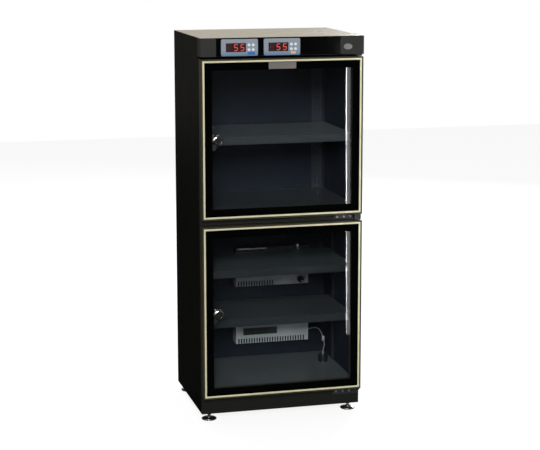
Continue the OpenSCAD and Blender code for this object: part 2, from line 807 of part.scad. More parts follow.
// Turning plug with its key slot and long spindle
module lock_plug(lock_z) color("#3a3c3f") translate([lock_x, 0, foot_h + lock_z]) {
    y0 = door_y - lock_out + plug_face;
    difference() {
        rod_y([0, y0, 0], plug_r, plug_depth);
        translate([-key_w / 2, y0 - cut, -key_l / 2]) cube([key_w, key_w + cut, key_l]);
    }
    rod_y([0, y0 + plug_depth, 0], spindle_r, cam_y + cam_t + cam_nut_t - y0 - plug_depth);
}

// Cam that hangs down when the lock is open, with its nut
module lock_cam(lock_z) color("#9fa2a6") translate([lock_x, 0, foot_h + lock_z]) difference() {
    w = cam_w / 2;
    union() {
        translate([0, cam_y + cam_t, 0]) rotate([90, 0, 0]) linear_extrude(cam_t)
            polygon([[-w, w / 2], [-w / 2, w], [w / 2, w], [w, w / 2], [w, -cam_l / 2],
                [w * 0.6, -cam_l], [-w * 0.6, -cam_l], [-w, -cam_l / 2]]);
        translate([0, cam_y + cam_t, 0]) rotate([-90, 0, 0])
            cylinder(r = spindle_r * 1.8, h = cam_nut_t, $fn = 6);
    }
    rod_y([0, cam_y - cut, 0], spindle_r, cam_t + cam_nut_t + 2 * cut);
}

module upper_door_frame() door_frame(upper_door_z, upper_door_h);
module upper_door_trim() door_trim(upper_door_z, upper_door_h);
module upper_door_surround() door_surround(upper_door_z, upper_door_h, upper_lock_z);
module upper_door_glass() door_glass(upper_door_z, upper_door_h, upper_lock_z);
module upper_door_gasket() door_gasket(upper_door_z, upper_door_h);
module upper_door_bushes() door_bushes(upper_door_z, upper_door_h);
module lower_door_frame() door_frame(lower_door_z, lower_door_h);
module lower_door_trim() door_trim(lower_door_z, lower_door_h);
module lower_door_surround() door_surround(lower_door_z, lower_door_h, lower_lock_z);
module lower_door_glass() door_glass(lower_door_z, lower_door_h, lower_lock_z);
module lower_door_gasket() door_gasket(lower_door_z, lower_door_h);
module lower_door_bushes() door_bushes(lower_door_z, lower_door_h);

side_panel_left();
side_panel_right();
wall_liners();
back_panel();
top_cover();
header_fascia();
display_panel();
ceiling_panels();
upper_deck();
lower_floor();
bottom_pan();
centre_rail();
base_front();
controllers();
display_windows();
button(0);  // button_1
button(1);  // button_2
button(2);  // button_3
button(3);  // button_4
button(4);  // button_5
button(5);  // button_6
button(6);  // button_7
button(7);  // button_8
shelf_rails();
shelf_clips();
shelf_upper();
shelf_middle();
shelf_lower();
humidity_unit_upper();
humidity_unit_lower();
unit_dial();
sensor_wire();
floor_sensor();
hinge_brackets();
hinge_pins();
hinge_screws();
strike_plates();
power_inlet();
foot_front_left();
foot_front_right();
foot_back_left();
foot_back_right();
upper_door_frame();
upper_door_trim();
upper_door_surround();
upper_door_glass();
upper_door_gasket();
upper_door_bushes();
lock_body(upper_lock_z);  // upper_lock_body
lock_plug(upper_lock_z);  // upper_lock_plug
lock_cam(upper_lock_z);  // upper_lock_cam
lower_door_frame();
lower_door_trim();
lower_door_surround();
lower_door_glass();
lower_door_gasket();
lower_door_bushes();
lock_body(lower_lock_z);  // lower_lock_body
lock_plug(lower_lock_z);  // lower_lock_plug
lock_cam(lower_lock_z);  // lower_lock_cam
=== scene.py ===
import math

import bpy
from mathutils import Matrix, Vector


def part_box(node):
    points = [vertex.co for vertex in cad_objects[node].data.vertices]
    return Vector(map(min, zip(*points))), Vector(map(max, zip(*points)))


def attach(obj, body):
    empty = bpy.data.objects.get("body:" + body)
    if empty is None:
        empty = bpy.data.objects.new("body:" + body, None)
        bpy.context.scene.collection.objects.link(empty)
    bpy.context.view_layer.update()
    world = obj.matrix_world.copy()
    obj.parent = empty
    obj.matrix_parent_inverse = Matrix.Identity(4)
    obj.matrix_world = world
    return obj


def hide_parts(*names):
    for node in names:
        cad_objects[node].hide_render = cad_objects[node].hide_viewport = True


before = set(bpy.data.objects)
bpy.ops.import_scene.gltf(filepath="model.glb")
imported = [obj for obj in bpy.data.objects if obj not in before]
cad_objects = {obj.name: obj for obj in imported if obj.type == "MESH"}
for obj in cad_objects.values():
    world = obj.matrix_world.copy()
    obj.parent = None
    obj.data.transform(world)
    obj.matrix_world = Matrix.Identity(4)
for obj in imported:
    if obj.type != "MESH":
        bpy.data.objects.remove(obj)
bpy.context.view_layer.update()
bpy.ops.object.select_all(action="DESELECT")

# Camera
# The photograph was taken from the cabinet's left and a little above its lid, about five
# metres away, with a lens that keeps the uprights nearly parallel.
tilt_down, roll, heading = 0.17503, 0.0012, -0.25383
bpy.ops.object.camera_add(location=(-1.3032, -5.0671, 1.6157))
camera = bpy.context.object
camera.rotation_euler = (math.pi / 2 - tilt_down, roll, heading)
camera.data.lens = 103.8
camera.data.shift_y = -0.037
bpy.context.scene.camera = camera

# Sensor wire and its coupling
# A thin light-grey lead leaves the gland of the lower humidity unit, bends down in the back
# corner and ends in the sensor on the floor, with a small white coupling crimped on its bend.
# Its route is given in shares of the way from the gland to the sensor.
wire_from = Vector((0.194, 0.179, 0.198))
wire_to = Vector((0.222, 0.072, 0.130))
wire_shares = [
    (0, 0, 0), (0.4, 0, -0.02), (0.8, 0, -0.04), (1.15, 0.01, -0.04), (1.45, 0.03, 0.01),
    (1.65, 0.06, 0.1), (1.8, 0.09, 0.23), (1.9, 0.13, 0.37), (1.93, 0.19, 0.5),
    (1.93, 0.28, 0.61), (1.86, 0.39, 0.69), (1.72, 0.52, 0.74), (1.52, 0.65, 0.76),
    (1.32, 0.78, 0.78), (1.13, 0.9, 0.82), (1.03, 0.97, 0.88), (1, 1, 0.94), (1, 1, 1)]
wire_points = [
    wire_from + Vector([s * d for s, d in zip(share, wire_to - wire_from)])
    for share in wire_shares]
wire_radius = 0.002
coupling_half = Vector((0.0045, 0.0035, 0.009))
coupling_knot = 8


def apply_place(piece):
    """Leaves the object at the origin, with its place in its mesh."""
    bpy.ops.object.select_all(action="DESELECT")
    piece.select_set(True)
    bpy.context.view_layer.objects.active = piece
    bpy.ops.object.transform_apply(location=True, rotation=True, scale=True)
    return piece


def round_edges(piece, width, segments=2):
    """Rounds every sharp edge of a piece by a small radius."""
    bpy.context.view_layer.objects.active = piece
    rounding = piece.modifiers.new("edge_round", "BEVEL")
    rounding.width = width
    rounding.segments = segments
    rounding.limit_method = "ANGLE"
    bpy.ops.object.modifier_apply(modifier=rounding.name)
    bpy.ops.object.select_all(action="DESELECT")
    piece.select_set(True)
    bpy.ops.object.shade_smooth_by_angle(angle=math.radians(35))
    return piece


def add_block(name, low, high, edge):
    """A moulded block between two corners, with rounded edges."""
    low, high = Vector(low), Vector(high)
    bpy.ops.mesh.primitive_cube_add(size=1, location=(low + high) / 2)
    block = bpy.context.object
    block.name = name
    block.scale = high - low
    return round_edges(apply_place(block), edge)


def new_material(name):
    """A material with the handles that the finishes below connect to."""
    material = bpy.data.materials.new(name)
    material.use_nodes = True
    tree = material.node_tree
    return material, tree, tree.nodes["Principled BSDF"]


def feed(tree, amount, socket):
    """Links another node's output to a socket, or writes a number or a colour there."""
    if isinstance(amount, bpy.types.NodeSocket):
        tree.links.new(amount, socket)
    else:
        socket.default_value = amount


def add_noise(tree, scale, detail):
    """Noise on the piece's own coordinates."""
    coordinates = tree.nodes.new("ShaderNodeTexCoord")
    noise = tree.nodes.new("ShaderNodeTexNoise")
    noise.inputs["Detail"].default_value = detail
    feed(tree, scale, noise.inputs["Scale"])
    tree.links.new(coordinates.outputs["Object"], noise.inputs["Vector"])
    return noise.outputs["Fac"]


def add_range(tree, value, low, high, start=0.3, end=0.7):
    """Maps what lies between start and end, as most of a noise does, onto low to high."""
    mapper = tree.nodes.new("ShaderNodeMapRange")
    mapper.inputs["From Min"].default_value = start
    mapper.inputs["From Max"].default_value = end
    for label, amount in (("Value", value), ("To Min", low), ("To Max", high)):
        feed(tree, amount, mapper.inputs[label])
    return mapper.outputs["Result"]


def scale_colour(tree, colour, factor):
    """Multiplies a colour by a value that varies over the surface."""
    scaled = tree.nodes.new("ShaderNodeVectorMath")
    scaled.operation = "SCALE"
    feed(tree, colour, scaled.inputs[0])
    tree.links.new(factor, scaled.inputs["Scale"])
    return scaled.outputs["Vector"]


def make_uneven_coat():
    """Mottled colour, uneven gloss and a fine grain, for paint, plastic, rubber and metal."""
    tree = bpy.data.node_groups.new("uneven_coat", "ShaderNodeTree")
    number, colour = "NodeSocketFloat", "NodeSocketColor"
    for label, kind in (("Colour", colour), ("Mottle Low", number), ("Mottle High", number),
                        ("Grain Scale", number), ("Rough Low", number), ("Rough High", number)):
        tree.interface.new_socket(name=label, in_out="INPUT", socket_type=kind)
    for label, kind in (("Colour", colour), ("Roughness", number), ("Height", number)):
        tree.interface.new_socket(name=label, in_out="OUTPUT", socket_type=kind)
    given = tree.nodes.new("NodeGroupInput").outputs
    made = tree.nodes.new("NodeGroupOutput").inputs
    cloud = add_noise(tree, scale=7, detail=5)
    mottle = add_range(tree, cloud, given["Mottle Low"], given["Mottle High"])
    tree.links.new(scale_colour(tree, given["Colour"], mottle), made["Colour"])
    patch = add_noise(tree, scale=23, detail=4)
    rough = add_range(tree, patch, given["Rough Low"], given["Rough High"])
    tree.links.new(rough, made["Roughness"])
    tree.links.new(add_noise(tree, given["Grain Scale"], detail=2), made["Height"])
    return tree


uneven_coat = make_uneven_coat()
rough_spread = 0.015


def coat_material(name, colour, rough, grain=900, grain_depth=0.00002, mottle=0.04,
                  fold=0.0, metal=0.0, gloss=0.5):
    """A coated or moulded surface; fold is the radius that catches light along its edges."""
    material, tree, shader = new_material(name)
    group = tree.nodes.new("ShaderNodeGroup")
    group.node_tree = uneven_coat
    amounts = {"Colour": (*colour, 1), "Mottle Low": 1 - mottle, "Mottle High": 1 + mottle,
               "Grain Scale": grain, "Rough Low": rough - rough_spread,
               "Rough High": rough + rough_spread}
    for label, amount in amounts.items():
        group.inputs[label].default_value = amount
    bump = tree.nodes.new("ShaderNodeBump")
    bump.inputs["Distance"].default_value = grain_depth
    tree.links.new(group.outputs["Height"], bump.inputs["Height"])
    if fold:
        bevel = tree.nodes.new("ShaderNodeBevel")
        bevel.inputs["Radius"].default_value = fold
        tree.links.new(bevel.outputs["Normal"], bump.inputs["Normal"])
    tree.links.new(group.outputs["Colour"], shader.inputs["Base Color"])
    tree.links.new(group.outputs["Roughness"], shader.inputs["Roughness"])
    tree.links.new(bump.outputs["Normal"], shader.inputs["Normal"])
    shader.inputs["Metallic"].default_value = metal
    shader.inputs["Specular IOR Level"].default_value = gloss
    return material


def finish_piece(piece, material, body, slot, *replaced):
    """Material, body and replaced nodes of a new piece; the slot is not used."""
    piece.data.materials.clear()
    piece.data.materials.append(material)
    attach(piece, body)
    if replaced:
        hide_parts(*replaced)


jacket = coat_material("wire_jacket", (0.42, 0.44, 0.5), 0.45, grain=400, mottle=0.12)
wire_line = bpy.data.curves.new("sensor_lead", "CURVE")
wire_line.dimensions = "3D"
wire_line.bevel_depth = wire_radius
wire_line.bevel_resolution = 4
wire_line.use_fill_caps = True
wire_spline = wire_line.splines.new("BEZIER")
wire_spline.bezier_points.add(len(wire_points) - 1)
for knot, place in zip(wire_spline.bezier_points, wire_points):
    knot.co = place
    knot.handle_left_type = knot.handle_right_type = "AUTO"
sensor_lead = bpy.data.objects.new("sensor_lead", wire_line)
bpy.context.scene.collection.objects.link(sensor_lead)
finish_piece(sensor_lead, jacket, "cabinet", "wire_jacket", "sensor_wire")

coupling_white = coat_material("coupling_white", (0.75, 0.77, 0.8), 0.35, grain=500)
coupling = add_block("wire_coupling", -coupling_half, coupling_half, edge=0.0012)
coupling.location = wire_points[coupling_knot]
apply_place(coupling)
finish_piece(coupling, coupling_white, "cabinet", "wire_jacket")

# Painted shell
# Folded steel sheet with a satin black powder coat: two sides, the back, the lid and the bottom
# pan. The sides carry the darkest tone of the coat, as painted shade; the back and the pan are
# given a paler tone, and the lid a smoother coat in a lighter tone, as painted light on the top.


def finish_nodes(material, *names):
    """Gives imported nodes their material."""
    for name in names:
        slots = cad_objects[name].data.materials
        slots.clear()
        slots.append(material)


lid_sheen = (1, 0.94, 0.80, 1)
# Painted shade on the sides and painted light on the lid: tones of one black coat.
shell_black_painted_shade = coat_material("shell_black_painted_shade", (0.0036, 0.0040, 0.0028), 0.44, grain=1100,
                            fold=0.0016, gloss=0.12)
lid_black_painted_light = coat_material("lid_black_painted_light", (0.012, 0.012, 0.0105), 0.21, grain=1100,
                          grain_depth=0.000004, fold=0.0012, gloss=0.4)
lid_black_painted_light.node_tree.nodes["Principled BSDF"].inputs["Specular Tint"].default_value = lid_sheen
back_black = coat_material("back_black", (0.014, 0.0145, 0.013), 0.4, grain=1100,
                           fold=0.0016, gloss=0.3)
finish_nodes(shell_black_painted_shade, "side_panel_left", "side_panel_right")
finish_nodes(back_black, "back_panel", "bottom_pan")
finish_nodes(lid_black_painted_light, "top_cover")

# Header, rail and base
# The front sheets are the same folded steel and coat, given lighter charcoal tones as painted
# light, lightest on the header. The header's left edge and the base's ends catch a thin line of
# light on their folds.
# Painted light: the fronts get lighter charcoal tones of the same coat.
front_charcoal_painted_light = coat_material("front_charcoal_painted_light", (0.021, 0.022, 0.0195), 0.4, grain=1000,
                               grain_depth=0.00003, fold=0.0018, gloss=0.4)
base_charcoal_painted_light = coat_material("base_charcoal_painted_light", (0.0075, 0.0085, 0.0062), 0.42, grain=1000,
                              grain_depth=0.00003, fold=0.0018, gloss=0.4)
finish_nodes(front_charcoal_painted_light, "header_fascia")
finish_nodes(base_charcoal_painted_light, "centre_rail", "base_front")

# Gloss black header panel
# A gloss acrylic strip set on the header, which frames both controllers and runs on to the
# badge at the right. It is left plain.
panel_black = coat_material("panel_black", (0.0016, 0.0016, 0.0018), 0.14, grain=300,
                            grain_depth=0.000002, mottle=0.05, gloss=0.15)
finish_nodes(panel_black, "display_panel")

# Controllers
# Two moulded grey-blue bezels, pushed into the header, each with a dark red window, two lit
# digits and one dark one, and a small plain colour tab under its buttons.
bezel_shade, bezel_shade_from, bezel_shade_to = (0.12, 0.21, 0.34), 1.236, 1.219
window_w = 0.066
digit_w, digit_h, bar = 0.0100, 0.0188, 0.0021
bar_half_depth = 0.00025
digit_slant = 0.08
# Place of each digit across its window, and the bars of it that are lit
reading = [(-0.0215, ""), (0, "afgcd"), (0.0213, "afgcd")]
# Place of each bar across and up from the middle of its digit, and whether it lies flat
segment_places = {
    "a": (0, digit_h / 2, True), "g": (0, 0, True), "d": (0, -digit_h / 2, True),
    "f": (-digit_w / 2, digit_h / 4, False), "b": (digit_w / 2, digit_h / 4, False),
    "e": (-digit_w / 2, -digit_h / 4, False), "c": (digit_w / 2, -digit_h / 4, False)}
tab_front, tab_back, tab_z = -0.21855, -0.2175, 1.2262


def take_axis(tree, vector, axis):
    """One axis of a place or a direction."""
    split = tree.nodes.new("ShaderNodeSeparateXYZ")
    tree.links.new(vector, split.inputs["Vector"])
    return split.outputs[axis]


def object_axis(tree, axis):
    """The place of a surface point along one axis."""
    coordinates = tree.nodes.new("ShaderNodeTexCoord")
    return take_axis(tree, coordinates.outputs["Object"], axis)


def paint_over(material, colour, share):
    """Lays a second colour over a coat, by a share that varies over the surface."""
    tree = material.node_tree
    base = tree.nodes["Principled BSDF"].inputs["Base Color"]
    mix = tree.nodes.new("ShaderNodeMix")
    mix.data_type = "RGBA"
    mix.inputs["B"].default_value = (*colour, 1)
    tree.links.new(share, mix.inputs["Factor"])
    tree.links.new(base.links[0].from_socket, mix.inputs["A"])
    tree.links.new(mix.outputs["Result"], base)


def shade_by_height(material, colour, start, end):
    """Blends a second colour in from one height to another."""
    tree = material.node_tree
    share = add_range(tree, object_axis(tree, "Z"), 0, 1, start, end)
    paint_over(material, colour, share)


def glow_material(name, colour, strength):
    """A lit display segment, or an unlit one with a faint painted glow."""
    material, tree, shader = new_material(name)
    polish = add_range(tree, add_noise(tree, scale=150, detail=1), 0.35, 0.45)
    tree.links.new(polish, shader.inputs["Roughness"])
    unevenness = add_range(tree, add_noise(tree, scale=220, detail=1), 0.85, 1.1)
    glow = scale_colour(tree, colour, unevenness)
    tree.links.new(glow, shader.inputs["Base Color"])
    tree.links.new(glow, shader.inputs["Emission Color"])
    shader.inputs["Emission Strength"].default_value = strength
    return material


def add_segments(name, middle, lit):
    """Joins the lit or the dark bars of the three digits of one window into one piece."""
    bars = []
    for place, shown in reading:
        for key, (dx, dz, flat) in segment_places.items():
            if (key in shown) != lit:
                continue
            wide, tall = (digit_w - bar / 2, bar) if flat else (bar, digit_h / 2 - bar / 2)
            centre = middle + Vector((place + dx + dz * digit_slant, 0, dz))
            half = Vector((wide / 2, bar_half_depth, tall / 2))
            bars.append(add_block("bar", centre - half, centre + half, edge=bar * 0.3))
    bpy.ops.object.select_all(action="DESELECT")
    for piece in bars:
        piece.select_set(True)
    bpy.context.view_layer.objects.active = bars[0]
    bpy.ops.object.join()
    bars[0].name = name
    return bars[0]


bezel_blue = coat_material("bezel_blue", (0.265, 0.300, 0.352), 0.38, grain=700, fold=0.0015)
shade_by_height(bezel_blue, bezel_shade, bezel_shade_from, bezel_shade_to)
window_red = coat_material("window_red", (0.040, 0.017, 0.020), 0.15, grain=300,
                           grain_depth=0.000002, gloss=0.2)
finish_nodes(bezel_blue, "controllers")
finish_nodes(window_red, "display_windows")

segment_lit = glow_material("segment_lit", (0.75, 0.085, 0.05), 0.42)
# Painted glow: the unlit bars glow faintly too.
segment_unlit_glow = glow_material("segment_unlit_glow", (0.03, 0.005, 0.008), 0.15)
windows_low, windows_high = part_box("display_windows")
window_z = (windows_low.z + windows_high.z) / 2
for side, window_x in (("left", windows_low.x + window_w / 2),
                       ("right", windows_high.x - window_w / 2)):
    middle = Vector((window_x, windows_low.y, window_z))
    lit_bars = add_segments("digits_lit_" + side, middle, True)
    finish_piece(lit_bars, segment_lit, "cabinet", "display_window")
    dark_bars = add_segments("digits_dark_" + side, middle, False)
    finish_piece(dark_bars, segment_unlit_glow, "cabinet", "display_window")

tab_blue = coat_material("tab_blue", (0.02, 0.14, 0.42), 0.4, grain=600)
tab_orange = coat_material("tab_orange", (0.85, 0.42, 0.22), 0.4, grain=600)
for side, tint, tab_x, half_w, half_h in (("left", tab_blue, -0.1075, 0.0120, 0.0045),
                                          ("right", tab_orange, 0.0322, 0.0085, 0.0034)):
    tab = add_block("control_tab_" + side, (tab_x - half_w, tab_front, tab_z - half_h),
                    (tab_x + half_w, tab_back, tab_z + half_h), edge=0.0003)
    finish_piece(tab, tint, "cabinet", "controller_plastic")

# Push buttons
# Eight light grey caps, moulded with a domed face and a shallow finger dish. Each slides in
# its own bore in a bezel and springs back.
cap_rim, dish_rim, dish_depth = 0.0011, 0.0008, 0.0004


def press_front(piece, *steps):
    """Insets the flat front of a piece and moves it in or out, once for each step."""
    bpy.ops.object.mode_set(mode="EDIT")
    bpy.ops.mesh.select_mode(type="FACE")
    bpy.ops.mesh.select_all(action="DESELECT")
    bpy.ops.object.mode_set(mode="OBJECT")
    for face in piece.data.polygons:
        face.select = face.normal.y < -0.999
    bpy.ops.object.mode_set(mode="EDIT")
    for rim, depth in steps:
        bpy.ops.mesh.inset(thickness=rim)
        bpy.ops.transform.translate(value=(0, depth, 0))
    bpy.ops.object.mode_set(mode="OBJECT")


button_light = coat_material("button_light", (0.72, 0.78, 0.84), 0.35, grain=800)
for number in range(1, 9):
    low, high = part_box("button_%d" % number)
    bpy.ops.mesh.primitive_cylinder_add(vertices=40, radius=(high.x - low.x) / 2,
                                        depth=high.y - low.y, location=(low + high) / 2,
                                        rotation=(math.pi / 2, 0, 0))
    cap = bpy.context.object
    cap.name = "button_cap_%d" % number
    press_front(apply_place(cap), (cap_rim, 0), (dish_rim, dish_depth))
    round_edges(cap, 0.0005, segments=3)
    finish_piece(cap, button_light, "button_%d_body" % number, "button_plastic",
                 "button_%d" % number)

# Badges and plates
# Three small fixings that carry no words here: a domed metal oval on the header, a framed
# plate on the upper door and a dark plate on the lower humidity unit, all stuck on.
door_plate_low, door_plate_high = (-0.048, -0.2118, 1.1736), (0.0436, -0.2104, 1.1954)
unit_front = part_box("humidity_unit_lower")[0].y
unit_plate_low = (-0.049, unit_front - 0.0012, 0.1965)
unit_plate_high = (0.075, unit_front, 0.2215)
plate_sink = 0.0004
badge_place, badge_scale = (0.2178, -0.2139, 1.2413), (0.0143, 0.0093, 0.0018)
# Width and depth of each step of the badge's face: a sunk groove, then a raised field
badge_groove, badge_field = (0.0013, 0.0006), (0.0025, -0.0008)


def front_area(face):
    """Area of a face that looks to the front, and nothing for the others."""
    return face.area * (face.normal.y < -0.9)


def add_plate(name, low, high, rim, materials, body):
    """A plate on a front with a raised rim round a sunk field."""
    plate = add_block(name, low, high, edge=0.0003)
    press_front(plate, (rim, plate_sink))
    max(plate.data.polygons, key=front_area).material_index = 1
    plate.data.materials.clear()
    for material in materials:
        plate.data.materials.append(material)
    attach(plate, body)


plate_rim = coat_material("plate_rim", (0.21, 0.19, 0.175), 0.35, grain=500, metal=0.3)
plate_face = coat_material("plate_face", (0.10, 0.055, 0.045), 0.4, grain=260, mottle=0.35,
                           metal=0.2)
badge_metal = coat_material("badge_metal", (0.33, 0.33, 0.32), 0.3, grain=300, mottle=0.25,
                            metal=0.7)
label_dark = coat_material("label_dark", (0.028, 0.03, 0.028), 0.4, grain=500, mottle=0.2)
add_plate("door_name_plate", door_plate_low, door_plate_high, rim=0.0016,
          materials=(plate_rim, plate_face), body="upper_door")
add_plate("unit_plate", unit_plate_low, unit_plate_high, rim=0.001,
          materials=(label_dark, label_dark), body="cabinet")

bpy.ops.mesh.primitive_cylinder_add(vertices=56, radius=1, depth=1, location=badge_place,
                                    rotation=(math.pi / 2, 0, 0))
badge = bpy.context.object
badge.name = "header_badge"
badge.scale = badge_scale
press_front(apply_place(badge), badge_groove, badge_field)
round_edges(badge, 0.0003)
finish_piece(badge, badge_metal, "cabinet", "zinc")

# Linings, floors and shelves
# The inside is lined with blue-black painted sheet. The floors and the folded shelves are a
# slate grey whose upward faces are painted lighter, as painted light from above, and each level
# has its own tones of the slate, painted light and shade; the shelves hang on clips in the
# slotted rails.


def shelf_material_lit_tops(name, lit_top_colour, edge):
    """Sheet whose upward faces are painted a lighter tone, as painted light from above."""
    material = coat_material(name, edge, 0.3, grain_depth=0.00001, fold=0.0025)
    tree = material.node_tree
    facing = tree.nodes.new("ShaderNodeNewGeometry")
    upward = take_axis(tree, facing.outputs["Normal"], "Z")
    paint_over(material, lit_top_colour, add_range(tree, upward, 0, 1, start=0.4, end=0.9))
    return material


# Painted light and shade: one slate, with lighter or darker top and edge tones for each level by
# how much light reaches it.
slates_lit_and_shaded = {
    "shelf_upper": shelf_material_lit_tops("shelf_slate_high_painted_light", (0.138, 0.149, 0.157),
                                  (0.0365, 0.0415, 0.047)),
    "shelf_middle": shelf_material_lit_tops("shelf_slate_mid_painted_light", (0.083, 0.094, 0.100),
                                   (0.019, 0.0215, 0.025)),
    "shelf_lower": shelf_material_lit_tops("shelf_slate_low_painted_light", (0.067, 0.075, 0.082),
                                  (0.0225, 0.027, 0.031)),
    "upper_deck": shelf_material_lit_tops("deck_slate_painted_light", (0.050, 0.056, 0.061), (0.012, 0.013, 0.015)),
    "lower_floor": shelf_material_lit_tops("floor_slate_painted_light", (0.137, 0.144, 0.152), (0.012, 0.013, 0.015))}
for name, slate in slates_lit_and_shaded.items():
    finish_nodes(slate, name)
liner_dark = coat_material("liner_dark", (0.0135, 0.0172, 0.0275), 0.5, gloss=0.15)
rail_dark = coat_material("rail_dark", (0.03, 0.033, 0.042), 0.45, fold=0.0008, gloss=0.3)
finish_nodes(liner_dark, "wall_liners", "ceiling_panels")
finish_nodes(rail_dark, "shelf_rails")

# Small fittings
# Zinc-plated clips, pins, screws, strikes and cams, with the fine directionless haze that
# barrel plating leaves, darker nickelled hinge brackets and ivory plastic bushes.
zinc_plate = coat_material("zinc_plate", (0.46, 0.47, 0.49), 0.34, grain=1500,
                           grain_depth=0.00001, mottle=0.15, metal=0.9, fold=0.0006)
bracket_nickel = coat_material("bracket_nickel", (0.045, 0.052, 0.055), 0.3, metal=0.5,
                               fold=0.0008)
bush_ivory = coat_material("bush_ivory", (0.6, 0.57, 0.5), 0.45)
finish_nodes(zinc_plate, "shelf_clips", "hinge_pins", "hinge_screws", "strike_plates",
             "upper_lock_cam", "lower_lock_cam")
finish_nodes(bracket_nickel, "hinge_brackets")
finish_nodes(bush_ivory, "upper_door_bushes", "lower_door_bushes")

# Humidity units
# Moulded grey covers with paler end caps, hung on the back wall, each with a near-black block
# behind its comb as painted shade inside the cover. The upper one has a pale strip and a lug on
# top, a painted shadow that darkens its front towards the top, and a gloss black dial with a
# pale dot painted where its highlight falls; the sensor on the floor is black plastic, as the
# mains inlet is.
unit_left, unit_right = -0.075, 0.190
cap_left, cap_right = 0.016, 0.007
# Painted shadow: the upper unit's front turns near black between these two heights, towards its
# top.
top_painted_shadow, top_painted_shadow_from, top_painted_shadow_to = (0.006, 0.006, 0.008), 0.455, 0.475
pack_gap, pack_back, pack_lift, pack_top = 0.005, 0.004, 0.001, 0.045
upper_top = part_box("humidity_unit_upper")[1].z
strip_low = (-0.068, unit_front - 0.0008, upper_top - 0.0055)
strip_high = (0.036, unit_front, upper_top - 0.0015)
lug_low = (0.148, unit_front - 0.001, upper_top - 0.014)
lug_high = (0.156, unit_front + 0.0015, upper_top + 0.006)
# A pale dot painted on the dial's face where its highlight falls, as a share of the way across
# and up its face
highlight_share_x, highlight_share_z = 0.7, 0.28
highlight_half = Vector((0.003, 0.0004, 0.003))


def add_math(tree, operation, first, second, clamp=False):
    """A sum, a product or a comparison of two sockets or numbers."""
    node = tree.nodes.new("ShaderNodeMath")
    node.operation = operation
    node.use_clamp = clamp
    feed(tree, first, node.inputs[0])
    feed(tree, second, node.inputs[1])
    return node.outputs["Value"]


def unit_material(name, body, caps):
    """Moulded cover whose ends are a paler tone."""
    material = coat_material(name, body, 0.45, grain=700, mottle=0.1)
    tree = material.node_tree
    across = object_axis(tree, "X")
    on_left = add_math(tree, "LESS_THAN", across, unit_left + cap_left)
    on_right = add_math(tree, "GREATER_THAN", across, unit_right - cap_right)
    paint_over(material, caps, add_math(tree, "MAXIMUM", on_left, on_right))
    return material


unit_grey = unit_material("unit_grey", (0.80, 0.81, 0.83), (0.86, 0.86, 0.88))
unit_dark = unit_material("unit_dark", (0.50, 0.50, 0.53), (0.55, 0.55, 0.58))
# Painted shadow over the upper unit's top front.
shade_by_height(unit_dark, top_painted_shadow, top_painted_shadow_from, top_painted_shadow_to)
finish_nodes(unit_grey, "humidity_unit_lower")
finish_nodes(unit_dark, "humidity_unit_upper")

# Painted shade: a near-black block inside each unit behind its comb stands for the shade in the
# hollow cover.
pack_painted_shade = coat_material("pack_painted_shade", (0.002, 0.002, 0.0025), 0.8, grain=300, gloss=0.0)
for level in ("upper", "lower"):
    low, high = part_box("humidity_unit_" + level)
    pack = add_block("pack_" + level,
                     (unit_left + pack_gap, low.y + pack_gap, low.z + pack_lift),
                     (unit_right - pack_gap, high.y - pack_back, low.z + pack_top), edge=0.002)
    finish_piece(pack, pack_painted_shade, "cabinet", "unit_plastic")

pale_strip_and_highlight = coat_material("pale_strip_and_highlight", (0.55, 0.56, 0.58), 0.4, grain=400, mottle=0.2)
strip_label = add_block("unit_strip_label", strip_low, strip_high, edge=0.0002)
finish_piece(strip_label, pale_strip_and_highlight, "cabinet", "unit_plastic")
lug = add_block("unit_lug", lug_low, lug_high, edge=0.0005)
finish_piece(lug, zinc_plate, "cabinet", "zinc")

gloss_black = coat_material("gloss_black", (0.006, 0.006, 0.007), 0.14, grain=400,
                            grain_depth=0.000006, gloss=0.6)
finish_nodes(gloss_black, "unit_dial")
dial_low, dial_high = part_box("unit_dial")
highlight_place = Vector((dial_low.lerp(dial_high, highlight_share_x).x, dial_low.y,
                      dial_low.lerp(dial_high, highlight_share_z).z))
# Painted highlight: a pale dot on the lower right of the gloss black dial.
highlight_dot = add_block("dial_highlight_dot", highlight_place - highlight_half, highlight_place + highlight_half,
                  edge=0.0003)
finish_piece(highlight_dot, pale_strip_and_highlight, "dial", "unit_plastic")

sensor_black = coat_material("sensor_black", (0.011, 0.011, 0.014), 0.35, grain=500, fold=0.001)
finish_nodes(sensor_black, "floor_sensor", "power_inlet")

# Doors
# Each door is a folded steel channel in dark bronze-black, a gold bead, a black printed
# surround, clear float glass and a grey magnetic gasket pressed into the channel's back.
glass_tint = (0.86, 0.9, 0.9)


def mix_shaders(tree, share, first, second):
    """Blends two finishes by a share."""
    mix = tree.nodes.new("ShaderNodeMixShader")
    tree.links.new(share, mix.inputs["Fac"])
    tree.links.new(first, mix.inputs[1])
    tree.links.new(second, mix.inputs[2])
    return mix.outputs["Shader"]


def glass_material():
    """Clear glass that lets the lamps' light through without bending it."""
    material, tree, shader = new_material("door_float_glass")
    shader.inputs["Transmission Weight"].default_value = 1
    shader.inputs["Specular IOR Level"].default_value = 0.12
    shader.inputs["IOR"].default_value = 1.45
    shader.inputs["Roughness"].default_value = 0
    haze = add_range(tree, add_noise(tree, scale=5, detail=3), 0.97, 1)
    tree.links.new(scale_colour(tree, glass_tint, haze), shader.inputs["Base Color"])
    clear = tree.nodes.new("ShaderNodeBsdfTransparent")
    clear.inputs["Color"].default_value = (*glass_tint, 1)
    ray = tree.nodes.new("ShaderNodeLightPath").outputs
    passing = add_math(tree, "MAXIMUM", ray["Is Shadow Ray"], ray["Is Diffuse Ray"])
    seen = mix_shaders(tree, passing, shader.outputs["BSDF"], clear.outputs["BSDF"])
    tree.links.new(seen, tree.nodes["Material Output"].inputs["Surface"])
    return material


